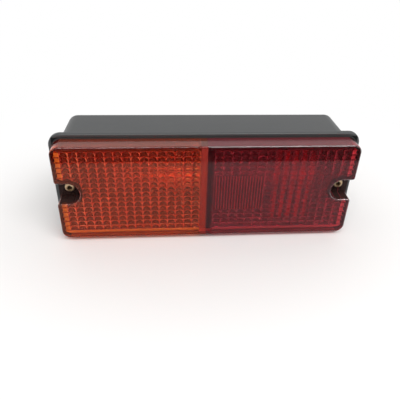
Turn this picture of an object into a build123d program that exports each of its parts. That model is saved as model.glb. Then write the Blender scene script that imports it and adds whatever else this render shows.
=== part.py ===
from build123d import *
import os

# Rear lamp with an amber half and a red half. Millimetres, +Z up, +X to the right of someone facing the lens.
# The lens faces -Y. The origin is midway between the two rear fixings, on the face that meets the vehicle.

# Whole lamp
overall_depth = 52.0
small_clearance = 0.1
screw_clearance = 0.4
overcut = 1.0

# Lens tray
lens_width = 170.0
lens_height = 60.2
lens_depth = 10.3
lens_plate = 2.2
lens_wall = 1.8
lens_corner_radius = 5.0
lens_edge_radius = 0.9
seam_x = -0.8
lap_width = 3.7

# Pillow optics inside the lens
optic_lift = 0.8
pillow_height = 1.2
pillow_bevel = 1.2
pillow_rows = 16
pillow_columns = 16
field_height = 52.0
field_end_margin = 4.9
amber_field_gap = 4.6
red_field_gap = 3.1
window_columns = 6
window_first_row = 5
window_rows = 7
flutes_per_column = 3
flute_depth = 0.45
edge_prism = 3.0
prism_gap = 0.6

# Screw pockets at the lens ends
pocket_inset = 6.5
pocket_radius = 6.6
pocket_mouth_radius = 1.5
pocket_wall = 1.8
pocket_floor = 1.5

# Lens screws and their brass inserts
lens_screw_diameter = 3.0
lens_screw_length = 10.0
lens_screw_head_diameter = 5.8
lens_screw_head_height = 1.9
screw_head_round = 0.6
screw_recess_span = 0.6
screw_recess_width = 0.9
screw_recess_depth = 1.3
screw_recess_core = 3.0
lens_insert_diameter = 4.6
lens_insert_length = 8.0
lens_boss_diameter = 6.8

# Gasket
gasket_width = 2.8
gasket_thickness = 1.8
gasket_stand = 0.6

# Housing
flange_overhang = 2.5
flange_thickness = 3.4
flange_corner_radius = 7.0
flange_edge_radius = 0.9
box_inset = 3.6
box_corner_radius = 7.0
box_draft = 1.5
box_back_radius = 4.5
housing_wall = 2.6
back_wall = 2.5
divider_thickness = 2.6
divider_x = 0.5
divider_clearance = 0.5
wire_gap_width = 10.0
wire_gap_depth = 8.0
drain_length = 6.0
drain_width = 2.5
drain_setback = 3.0

# Rear fixings and cable inlet
fixing_spacing = 90.0
fixing_thread_diameter = 5.0
fixing_insert_diameter = 7.0
fixing_insert_length = 9.0
fixing_boss_wall = 2.2
fixing_pad_diameter = 15.0
fixing_pad_height = 2.0
inlet_x = 24.0
inlet_z = -16.0
inlet_diameter = 11.0
grommet_bore = 6.4
grommet_lip = 2.0
grommet_lip_thickness = 1.5

# Bulb carriers
carrier_sheet = 1.0
carrier_width = 26.0
carrier_foot = 14.0
carrier_top_margin = 4.0
carrier_bend_radius = 1.6
post_diameter = 7.0
carrier_rise = 0.8
post_spacing = 16.0
carrier_screw_diameter = 2.9
carrier_screw_length = 5.5
carrier_screw_head_diameter = 5.6
carrier_screw_head_height = 2.0

# Bulbs and their holders, placed along the bulb's axis from the back of the holder
bulb_back_gap = 3.3
amber_holder_gap = 5.2
red_holder_end_gap = 19.0
holder_length = 20.0
holder_bore = 15.4
holder_sheet = 0.9
holder_back_hole = 8.0
holder_collar = 2.0
holder_collar_thickness = 1.0
holder_seat = 11.0
bayonet_slot_width = 2.6
spring_space = 4.0
spring_sheet = 0.4
spring_outer = 13.8
spring_inner = 9.2
spring_fingers = 3
finger_width = 1.5
finger_length = 4.2
finger_tip = 1.2
disc_thickness = 2.0
contact_head_diameter = 3.2
contact_head_height = 0.6
contact_pin_diameter = 1.8
contact_tail = 3.0
contact_spread = 5.4
solder_height = 1.0
solder_diameter = 3.0
base_thickness = 1.5
cap_diameter = 15.0
cap_length = 16.0
cap_sheet = 0.6
cap_pin_diameter = 2.0
cap_pin_height = 1.4
cap_pin_from_base = 6.7
glass_diameter = 25.0
glass_length = 36.0
glass_wall = 0.8
glass_in_cap = 5.0
glass_neck_length = 7.0
glass_shoulder = 35.0
stem_diameter = 6.0
stem_length = 10.0
filament_wire = 0.8
filament_width = 6.0
filament_reach = 12.0
filament_spacing = 4.0

# Places worked out from the sizes above
front_y = -overall_depth
lens_back_y = front_y + lens_depth
flange_front_y = lens_back_y + gasket_stand
flange_back_y = flange_front_y + flange_thickness
box_back_y = -fixing_pad_height
floor_y = box_back_y - back_wall
flange_width = lens_width + 2 * flange_overhang
flange_height = lens_height + 2 * flange_overhang
box_width = flange_width - 2 * box_inset
box_height = flange_height - 2 * box_inset
screw_x = lens_width / 2 - pocket_inset
screw_spots = [(-screw_x, optic_lift), (screw_x, optic_lift)]
pocket_floor_y = lens_back_y - pocket_floor
fixing_spots = [(-fixing_spacing / 2, 0), (fixing_spacing / 2, 0)]
amber_holder_x = divider_x - divider_thickness / 2 - amber_holder_gap
red_holder_x = lens_width / 2 - red_holder_end_gap
fixing_boss_y = -fixing_insert_length - fixing_boss_wall
bulb_y = fixing_boss_y - bulb_back_gap - glass_diameter / 2
carrier_y = fixing_boss_y - carrier_rise


# Building helpers

def slab(sketch, y_from, y_to, taper=0):
    """Extrude a sketch drawn in X and Z from one Y to another."""
    return extrude(Plane.XZ.offset(-y_from) * sketch, amount=y_from - y_to, taper=taper)


def discs(spots, diameter, y_from, y_to):
    """Round columns along Y at each (x, z) spot."""
    sketch = Sketch() + [Pos(*spot) * Circle(diameter / 2) for spot in spots]
    return slab(sketch, y_from, y_to)


def group(solids):
    """Separate solids kept together as one node."""
    return Compound([part.solid() for part in solids])


# Lens

def pocket_sketch(radius):
    """Open-ended pockets: a round end about each screw, running out past the lens end."""
    sketch = Sketch()
    run = pocket_inset + flange_overhang
    for side, (x, z) in zip((-1, 1), screw_spots):
        sketch += Pos(x, z) * Circle(radius)
        sketch += Pos(x + side * run / 2, z) * Rectangle(run, 2 * radius)
    return sketch


def ridges(start, length, count, bevel):
    """Closed outline of a row of bevelled ridges, with their tops toward +Y."""
    pitch = length / count
    base_y = front_y + lens_plate
    root_y = front_y + lens_plate / 2
    points = [(start + length, root_y), (start, root_y), (start, base_y)]
    for index in range(count):
        left = start + index * pitch
        points.append((left + bevel, base_y + pillow_height))
        points.append((left + pitch - bevel, base_y + pillow_height))
        points.append((left + pitch, base_y))
    return make_face(Polyline(*points, close=True))


def pillow_field(x_from, x_to):
    """A block of pillows: upright ridges crossed with level ridges."""
    low = optic_lift - field_height / 2
    upright = ridges(x_from, x_to - x_from, pillow_columns, pillow_bevel)
    upright = extrude(Pos(0, 0, low) * upright, amount=field_height)
    end_plane = Plane(origin=(x_to, 0, 0), x_dir=(0, 0, 1), z_dir=(-1, 0, 0))
    level = end_plane * ridges(low, field_height, pillow_rows, pillow_bevel)
    return upright & extrude(level, amount=x_to - x_from)


def window_box(depth_from, depth_to):
    """The block of the red field that carries flutes instead of pillows."""
    column = (lens_width / 2 - field_end_margin - red_field_gap) / pillow_columns
    row = field_height / pillow_rows
    width = window_columns * column
    height = window_rows * row
    top = optic_lift + field_height / 2 - window_first_row * row
    sketch = Pos(red_field_gap + width / 2, top - height / 2) * Rectangle(width, height)
    return slab(sketch, front_y + depth_from, front_y + depth_to)


def fluted_window():
    """Fine upright flutes on the inner face of the plate."""
    box = window_box(lens_plate / 2, lens_plate).bounding_box()
    pitch = box.size.X / (window_columns * flutes_per_column)
    crest_y = front_y + lens_plate + flute_depth
    points = [(box.min.X, crest_y - flute_depth)]
    for index in range(window_columns * flutes_per_column):
        left = box.min.X + index * pitch
        points.append((left + pitch / 2, crest_y))
        points.append((left + pitch, crest_y - flute_depth))
    points.append((box.max.X, front_y + lens_plate / 2))
    points.append((box.min.X, front_y + lens_plate / 2))
    profile = make_face(Polyline(*points, close=True))
    return extrude(Pos(0, 0, box.min.Z) * profile, amount=box.size.Z)


def edge_prisms():
    """Slanted prisms that light the border of the tray: rows of them at both ends and a bar below."""
    end_x = lens_width / 2 - lens_wall
    low_z = lens_wall - lens_height / 2
    row = field_height / pillow_rows
    row_z = optic_lift - field_height / 2 + prism_gap / 2
    plate_y = front_y + lens_plate
    bars = Part()
    for side in (-1, 1):
        outer_x = side * end_x
        inner_x = side * (end_x - edge_prism)
        section = make_face(Polyline(
            (outer_x, plate_y), (inner_x, plate_y), (outer_x, plate_y + edge_prism), close=True,
        ))
        for index in range(pillow_rows):
            bars += extrude(Pos(0, 0, row_z + index * row) * section, amount=row - prism_gap, dir=(0, 0, 1))
    section = make_face(Polyline(
        (plate_y, low_z), (plate_y, low_z + edge_prism), (plate_y + edge_prism, low_z), close=True,
    ))
    for x_from, x_to in ((-end_x, -amber_field_gap), (red_field_gap, end_x)):
        bars += extrude(Plane.YZ.offset(x_from) * section, amount=x_to - x_from, dir=(1, 0, 0))
    return bars


def lens_skin():
    """Outside of both lens halves: a slab with a notch at each end and rounded front edges."""
    outline = RectangleRounded(lens_width, lens_height, lens_corner_radius)
    notched = outline - pocket_sketch(pocket_radius)
    across = notched.vertices().filter_by_position(
        Axis.Y, optic_lift - pocket_radius - small_clearance, optic_lift + pocket_radius + small_clearance,
    )
    mouths = across.filter_by(lambda corner: abs(corner.X) > screw_x + pocket_inset / 2)
    front = slab(fillet(mouths, pocket_mouth_radius), front_y, pocket_floor_y)
    front = fillet(front.faces().sort_by(Axis.Y)[0].edges(), lens_edge_radius)
    return front + slab(outline, pocket_floor_y, lens_back_y)


def lens_tray():
    """Both lens halves as one tray, before it is parted at the lap seam."""
    outline = RectangleRounded(lens_width, lens_height, lens_corner_radius)
    skin = lens_skin()
    inner = slab(offset(outline, -lens_wall), front_y + lens_plate, lens_back_y)
    field_end = lens_width / 2 - field_end_margin
    amber_field = pillow_field(-field_end, -amber_field_gap)
    red_field = pillow_field(red_field_gap, field_end) - window_box(0, lens_depth)
    pocket_block = slab(pocket_sketch(pocket_radius + pocket_wall), front_y + lens_plate, lens_back_y)
    clear_of_pocket = slab(pocket_sketch(pocket_radius + pocket_wall), front_y, lens_back_y)
    tray = skin - inner
    tray += edge_prisms() & inner
    tray += amber_field - clear_of_pocket
    tray += red_field - clear_of_pocket
    tray += fluted_window()
    tray += pocket_block & skin
    tray -= slab(pocket_sketch(pocket_radius), front_y, pocket_floor_y)
    return tray - discs(screw_spots, lens_screw_diameter + screw_clearance, pocket_floor_y, lens_back_y)


def lens_halves():
    """Part the tray: the red half runs behind the amber half's edge in a stepped lap."""
    tray = lens_tray()
    reach = lens_width
    tongue = Pos(seam_x, 0) * Rectangle(2 * lap_width, lens_height - lens_wall)
    red_side = slab(Pos(seam_x + reach / 2, 0) * Rectangle(reach, lens_height), front_y, lens_back_y)
    red_side += slab(tongue, front_y + lens_plate / 2, lens_back_y)
    return tray - red_side, tray & red_side


# Housing and gasket

def gasket_outline(grow):
    """Ring under the middle of the lens rim; grow widens its section for the groove."""
    middle = offset(RectangleRounded(lens_width, lens_height, lens_corner_radius), -lens_wall / 2)
    half = gasket_width / 2 + grow
    return offset(middle, half) - offset(middle, -half)


def gasket_ring():
    return slab(gasket_outline(0), lens_back_y, lens_back_y + gasket_thickness)


def box_form():
    """Tapered outside of the box, from the flange's front to the back."""
    outline = RectangleRounded(box_width, box_height, box_corner_radius)
    return slab(outline, flange_front_y, box_back_y, taper=box_draft)


def housing_shell():
    """Flange and tapered box with a rounded back, hollowed from the front."""
    flange_outline = RectangleRounded(flange_width, flange_height, flange_corner_radius)
    flange = slab(flange_outline, flange_front_y, flange_back_y)
    rims = flange.edges().filter_by(Axis.Y, reverse=True)
    box = fillet(box_form().faces().sort_by(Axis.Y)[-1].edges(), box_back_radius)
    outline = RectangleRounded(box_width, box_height, box_corner_radius)
    hollow = slab(offset(outline, -housing_wall), flange_front_y, floor_y, taper=box_draft)
    return fillet(rims, flange_edge_radius) + box - hollow


def standing(sketch, y_front):
    """A rib or column from the back wall forward, kept inside the box's outer faces."""
    column = slab(sketch, flange_front_y, floor_y) & box_form()
    return column + slab(sketch, y_front, flange_front_y)


def housing_body():
    """The whole black moulding."""
    divider_front = front_y + lens_plate + divider_clearance
    inner_height = box_height - 2 * housing_wall
    divider = standing(Pos(divider_x, 0) * Rectangle(divider_thickness, inner_height), divider_front)
    wire_gap = Pos(divider_x, inlet_z) * Rectangle(2 * divider_thickness, wire_gap_width)
    divider -= slab(wire_gap, floor_y - wire_gap_depth, floor_y)
    lens_boss_sketch = Sketch() + [Pos(*spot) * Circle(lens_boss_diameter / 2) for spot in screw_spots]
    lens_bosses = standing(lens_boss_sketch, lens_back_y)
    fixing_boss = fixing_insert_diameter + 2 * fixing_boss_wall
    fixing_bosses = discs(fixing_spots, fixing_boss, fixing_boss_y, floor_y)
    posts = discs(post_spots(), post_diameter, carrier_y, floor_y)
    body = housing_shell() + divider + lens_bosses + fixing_bosses + posts
    body += discs(fixing_spots, fixing_pad_diameter, box_back_y, 0)
    body -= slab(gasket_outline(small_clearance), flange_front_y, lens_back_y + gasket_thickness)
    body -= discs(screw_spots, lens_insert_diameter, lens_back_y, lens_back_y + lens_insert_length)
    body -= discs(screw_spots, lens_screw_diameter, lens_back_y, pocket_floor_y + lens_screw_length + overcut)
    body -= discs(fixing_spots, fixing_insert_diameter, -fixing_insert_length, 0)
    body -= discs([(inlet_x, inlet_z)], inlet_diameter, floor_y, box_back_y)
    post_hole_end = carrier_y - carrier_sheet + carrier_screw_length + small_clearance
    body -= discs(post_spots(), carrier_screw_diameter, carrier_y, post_hole_end)
    drain = Pos(0, flange_back_y + drain_setback) * SlotOverall(drain_length, drain_width)
    drains = Sketch() + [Pos(x, 0) * drain for x in (-box_width / 4, box_width / 4)]
    body -= extrude(Pos(0, 0, -flange_height / 2) * drains, amount=box_inset + housing_wall + overcut)
    return body


def inserts(spots, outer, bore, y_from, y_to):
    """Plain brass bushes with a threaded bore, two at a time."""
    ring = Circle(outer / 2) - Circle(bore / 2)
    return group([slab(Pos(*spot) * ring, y_from, y_to) for spot in spots])


def cable_grommet():
    """Rubber grommet gripping the back wall with a lip on each side."""
    bore = grommet_bore / 2
    seat = inlet_diameter / 2
    lip = seat + grommet_lip
    inner_y = floor_y - grommet_lip_thickness
    outer_y = box_back_y + grommet_lip_thickness
    profile = make_face(Polyline(
        (bore, inner_y), (lip, inner_y), (lip, floor_y), (seat, floor_y),
        (seat, box_back_y), (lip, box_back_y), (lip, outer_y), (bore, outer_y), close=True,
    ))
    return Pos(inlet_x, 0, inlet_z) * revolve(profile, Axis.Y)


def pan_screw(diameter, length, head_diameter, head_height):
    """Pan-head screw along +Y with the underside of its head at the origin and a cross recess."""
    head = slab(Circle(head_diameter / 2), -head_height, 0)
    head = fillet(head.faces().sort_by(Axis.Y)[0].edges(), head_height * screw_head_round)
    span = head_diameter * screw_recess_span
    recess = Rectangle(span, screw_recess_width) + Rectangle(screw_recess_width, span)
    recess += Circle(screw_recess_core / 2)
    screw = head - slab(recess, -head_height, -head_height + screw_recess_depth)
    return screw + slab(Circle(diameter / 2), 0, length)


# Bulbs, holders and carriers

def along_bulb(holder_x):
    """Frame of a bulb: local Z runs from the back of the holder toward the glass, which is -X."""
    return Plane(origin=(holder_x, bulb_y, 0), x_dir=(0, 1, 0), z_dir=(-1, 0, 0))


def turned(points):
    """Turn a closed outline of (radius, distance) points about the bulb's axis."""
    return revolve(Plane.XZ * make_face(Polyline(*points, close=True)), Axis.Z)


def post_spots():
    """Two posts under the foot of each carrier."""
    spots = []
    for holder_x in (amber_holder_x, red_holder_x):
        x = holder_x - holder_seat + carrier_sheet + carrier_foot / 2
        spots += [(x, -post_spacing / 2), (x, post_spacing / 2)]
    return spots


def bulb_carrier(holder_x):
    """Folded steel bracket: a foot on the posts and an upright that carries the holder."""
    upright_x = holder_x - holder_seat - carrier_sheet
    tip_y = bulb_y - holder_bore / 2 - holder_sheet - holder_collar - carrier_top_margin
    foot_end = upright_x + carrier_sheet + carrier_foot
    path = [
        (upright_x, tip_y), (upright_x, carrier_y), (foot_end, carrier_y),
        (foot_end, carrier_y - carrier_sheet), (upright_x + carrier_sheet, carrier_y - carrier_sheet),
        (upright_x + carrier_sheet, tip_y),
    ]
    profile = make_face(Polyline(*path, close=True))
    sheet = extrude(Pos(0, 0, -carrier_width / 2) * profile, amount=carrier_width)
    bend = sheet.edges().filter_by(Axis.Z)
    outer = bend.sort_by_distance((upright_x, carrier_y, 0))[0]
    sheet = fillet(outer, carrier_bend_radius)
    hole_radius = holder_bore / 2 + holder_sheet + small_clearance / 2
    sheet -= along_bulb(holder_x) * Pos(0, 0, holder_seat) * Cylinder(hole_radius, 4 * carrier_sheet)
    screw_hole = carrier_screw_diameter + screw_clearance
    return sheet - discs(post_spots(), screw_hole, carrier_y - 2 * carrier_sheet, carrier_y + carrier_sheet)


def bulb_holder(holder_x):
    """Bayonet shell, swaged into its carrier between two collars."""
    bore = holder_bore / 2
    shell = bore + holder_sheet
    collar = shell + holder_collar
    back = holder_seat
    front = holder_seat + carrier_sheet
    way_in = holder_back_hole / 2
    body = turned([
        (way_in, 0), (shell, 0), (shell, back - holder_collar_thickness),
        (collar, back - holder_collar_thickness), (collar, back), (shell, back), (shell, front),
        (collar, front), (collar, front + holder_collar_thickness), (shell, front + holder_collar_thickness),
        (shell, holder_length), (bore, holder_length), (bore, holder_sheet), (way_in, holder_sheet),
    ])
    pin_at = cap_start() + cap_pin_from_base
    entry = Box(bayonet_slot_width, 4 * shell, holder_length - pin_at)
    body -= Pos(0, 0, (pin_at + holder_length) / 2) * entry
    body -= Pos(0, 0, pin_at) * Cylinder(bayonet_slot_width / 2, 4 * shell, rotation=(90, 0, 0))
    return along_bulb(holder_x) * body


def disc_start():
    return holder_sheet + spring_space


def contact_top():
    return disc_start() + disc_thickness + contact_head_height


def cap_start():
    return contact_top() + solder_height


def contact_spots(count):
    """Centre contact for a single bulb, a pair side by side for a double one."""
    if count == 1:
        return [(0, 0)]
    return [(0, -contact_spread / 2), (0, contact_spread / 2)]


def contact_disc(holder_x, count):
    disc = Circle(holder_bore / 2 - small_clearance)
    for spot in contact_spots(count):
        disc -= Pos(*spot) * Circle(contact_pin_diameter / 2)
    return along_bulb(holder_x) * extrude(Pos(0, 0, disc_start()) * disc, amount=disc_thickness)


def contact_pins(holder_x, count):
    pins = []
    for spot in contact_spots(count):
        head_from = disc_start() + disc_thickness
        tail = Pos(0, 0, -contact_tail) * Circle(contact_pin_diameter / 2)
        pin = extrude(tail, amount=head_from + contact_tail)
        pin += extrude(Pos(0, 0, head_from) * Circle(contact_head_diameter / 2), amount=contact_head_height)
        pins.append(along_bulb(holder_x) * Pos(*spot) * pin)
    return group(pins)


def contact_spring(holder_x):
    """Finger-spring washer: a flat ring with raised fingers that press on the contact disc."""
    washer = extrude(Circle(spring_outer / 2) - Circle(spring_inner / 2), amount=spring_sheet)
    root = -finger_length / 2
    tip = finger_length / 2
    bend = tip - finger_tip
    outline = make_face(Polyline(
        (root, 0), (bend, spring_space - spring_sheet), (tip, spring_space - spring_sheet),
        (tip, spring_space), (bend, spring_space), (root, spring_sheet), close=True,
    ))
    middle = (spring_outer + spring_inner) / 4
    finger = extrude(Plane.XZ.offset(-middle) * outline, amount=finger_width / 2, both=True)
    for index in range(spring_fingers):
        washer += Rot(0, 0, index * 360 / spring_fingers) * finger
    return along_bulb(holder_x) * Pos(0, 0, holder_sheet) * washer


def bulb_cap(holder_x):
    """Thin brass cap with two bayonet pins."""
    start = cap_start()
    outer = cap_diameter / 2
    inner = outer - cap_sheet
    shell = turned([(inner, start), (outer, start), (outer, start + cap_length), (inner, start + cap_length)])
    pin = Cylinder(cap_pin_diameter / 2, cap_diameter + 2 * cap_pin_height, rotation=(90, 0, 0))
    pins = Pos(0, 0, start + cap_pin_from_base) * pin
    inside = Pos(0, 0, start + cap_length / 2) * Cylinder(inner, cap_length)
    return along_bulb(holder_x) * (shell + (pins - inside))


def bulb_base(holder_x, count):
    """Insulator closing the cap, with a solder contact for each filament."""
    start = cap_start()
    plug = extrude(Pos(0, 0, start) * Circle(cap_diameter / 2 - cap_sheet), amount=base_thickness)
    for spot in contact_spots(count):
        plug += Pos(*spot) * extrude(Pos(0, 0, start) * Circle(solder_diameter / 2), amount=-solder_height)
    return along_bulb(holder_x) * plug


def glass_start():
    return cap_start() + cap_length - glass_in_cap


def glass_neck():
    return cap_diameter / 2 - cap_sheet - small_clearance


def glass_form(inset):
    """Turned bulb form of neck, cone and ball, drawn in by inset for the hollow."""
    start = glass_start()
    centre = start + glass_length - glass_diameter / 2
    neck = glass_neck() - inset
    dome = CenterArc((0, centre), glass_diameter / 2 - inset, -glass_shoulder, 90 + glass_shoulder)
    side = Polyline((0, start), (neck, start), (neck, start + glass_neck_length), dome @ 0)
    middle = Line(dome @ 1, (0, start))
    outline = make_face([*side.edges(), *dome.edges(), *middle.edges()])
    return revolve(Plane.XZ * outline, Axis.Z)


def bulb_glass(holder_x):
    """Thin glass envelope, open at the neck where the stem closes it."""
    return along_bulb(holder_x) * (glass_form(0) - glass_form(glass_wall))


def filament_mount(holder_x, count):
    """Glass stem with a pair of wires and a filament bar for each circuit."""
    start = glass_start()
    flare = glass_neck() - glass_wall - small_clearance
    mount = turned([
        (0, start), (flare, start), (flare, start + 2 * glass_wall),
        (stem_diameter / 2, start + 3 * glass_wall),
        (stem_diameter / 2, start + stem_length), (0, start + stem_length),
    ])
    wire_from = start + stem_length - filament_wire
    for index in range(count):
        across = (index - (count - 1) / 2) * filament_spacing / 2
        top = start + stem_length + filament_reach - index * filament_spacing
        for side in (-1, 1):
            foot = (across, side * stem_diameter / 4, wire_from)
            tip = (across, side * filament_width / 2, top)
            mount += wire(foot, tip)
        mount += wire((across, -filament_width / 2, top), (across, filament_width / 2, top))
    return along_bulb(holder_x) * mount


def wire(start, end):
    """Straight round wire with ball ends."""
    line = Line(start, end)
    rod = extrude(Plane(origin=line @ 0, z_dir=line % 0) * Circle(filament_wire / 2), amount=line.length)
    return rod + [Pos(*point) * Sphere(filament_wire / 2) for point in (start, end)]


# All pieces, one file each

amber_lens, red_lens = lens_halves()
lens_screw = pan_screw(
    lens_screw_diameter, lens_screw_length, lens_screw_head_diameter, lens_screw_head_height,
)
carrier_screw = pan_screw(
    carrier_screw_diameter - small_clearance, carrier_screw_length,
    carrier_screw_head_diameter, carrier_screw_head_height,
)
pieces = {
    "housing": housing_body(),
    "gasket": gasket_ring(),
    "amber_lens": amber_lens,
    "red_lens": red_lens,
    "lens_screws": group([Pos(x, pocket_floor_y, z) * lens_screw for x, z in screw_spots]),
    "lens_screw_inserts": inserts(
        screw_spots, lens_insert_diameter, lens_screw_diameter + small_clearance,
        lens_back_y, lens_back_y + lens_insert_length,
    ),
    "rear_fixing_inserts": inserts(
        fixing_spots, fixing_insert_diameter, fixing_thread_diameter, -fixing_insert_length, 0,
    ),
    "cable_grommet": cable_grommet(),
    "carrier_screws": group(
        [Pos(x, carrier_y - carrier_sheet, z) * carrier_screw for x, z in post_spots()]
    ),
}
for colour, holder_x, circuits in (("amber", amber_holder_x, 1), ("red", red_holder_x, 2)):
    pieces[f"{colour}_bulb_carrier"] = bulb_carrier(holder_x)
    pieces[f"{colour}_bulb_holder"] = bulb_holder(holder_x)
    pieces[f"{colour}_contact_disc"] = contact_disc(holder_x, circuits)
    pieces[f"{colour}_contact_pins"] = contact_pins(holder_x, circuits)
    pieces[f"{colour}_contact_spring"] = contact_spring(holder_x)
    pieces[f"{colour}_bulb_cap"] = bulb_cap(holder_x)
    pieces[f"{colour}_bulb_base"] = bulb_base(holder_x, circuits)
    pieces[f"{colour}_bulb_glass"] = bulb_glass(holder_x)
    pieces[f"{colour}_filament"] = filament_mount(holder_x, circuits)

os.makedirs("parts", exist_ok=True)
for name, piece in pieces.items():
    export_step(piece, f"parts/{name}.step")
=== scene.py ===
"""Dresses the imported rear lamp: crowned lens optics, a finish for every piece, floor, light and camera."""

import math
from types import SimpleNamespace

import bmesh
import bpy
from bpy.props import FloatProperty, FloatVectorProperty, IntProperty, PointerProperty
from mathutils import Matrix, Vector


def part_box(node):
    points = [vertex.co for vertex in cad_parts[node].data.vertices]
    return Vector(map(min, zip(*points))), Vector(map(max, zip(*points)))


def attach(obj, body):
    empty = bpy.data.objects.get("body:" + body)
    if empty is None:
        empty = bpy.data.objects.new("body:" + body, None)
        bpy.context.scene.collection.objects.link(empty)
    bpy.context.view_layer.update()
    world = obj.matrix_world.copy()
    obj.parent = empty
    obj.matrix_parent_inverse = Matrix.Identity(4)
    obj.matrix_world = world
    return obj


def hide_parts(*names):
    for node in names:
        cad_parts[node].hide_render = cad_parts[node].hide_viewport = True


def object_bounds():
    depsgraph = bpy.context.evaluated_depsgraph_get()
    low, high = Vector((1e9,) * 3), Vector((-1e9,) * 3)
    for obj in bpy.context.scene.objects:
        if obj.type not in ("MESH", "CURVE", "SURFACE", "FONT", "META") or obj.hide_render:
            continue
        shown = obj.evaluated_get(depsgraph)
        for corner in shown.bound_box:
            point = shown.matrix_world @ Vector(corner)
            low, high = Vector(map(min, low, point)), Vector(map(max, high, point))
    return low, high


bl_info = {
    "name": "Rear lamp dressing",
    "version": (1, 0, 0),
    "blender": (4, 5, 0),
    "location": "View3D > Sidebar > Rear lamp",
    "description": "Finishes a two-colour rear lamp and sets it on a pale floor",
    "category": "Object",
}

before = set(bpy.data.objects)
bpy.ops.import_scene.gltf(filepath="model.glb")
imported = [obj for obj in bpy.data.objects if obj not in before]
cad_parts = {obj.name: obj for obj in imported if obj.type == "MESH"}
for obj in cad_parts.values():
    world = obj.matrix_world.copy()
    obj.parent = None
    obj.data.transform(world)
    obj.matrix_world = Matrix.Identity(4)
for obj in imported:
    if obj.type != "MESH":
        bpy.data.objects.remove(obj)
CAD_LOW, CAD_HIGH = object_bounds()
MM = 0.001
MERGE = 0.002 * MM


def colour(name, description, default):
    """A colour that a user can change."""
    return FloatVectorProperty(
        name=name, description=description, default=default, subtype="COLOR", min=0.0, max=1.0)


def length(name, description, millimetres):
    """A length that a user can change, kept in metres."""
    return FloatProperty(
        name=name, description=description, default=millimetres * MM, subtype="DISTANCE", unit="LENGTH")


def angle(name, description, degrees):
    """An angle that a user can change, kept in radians."""
    return FloatProperty(
        name=name, description=description, default=math.radians(degrees), subtype="ANGLE", unit="ROTATION")


def number(name, description, default):
    """A plain number that a user can change."""
    return FloatProperty(name=name, description=description, default=default)


def count(name, description, default):
    """A whole number that a user can change."""
    return IntProperty(name=name, description=description, default=default, min=1)


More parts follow.
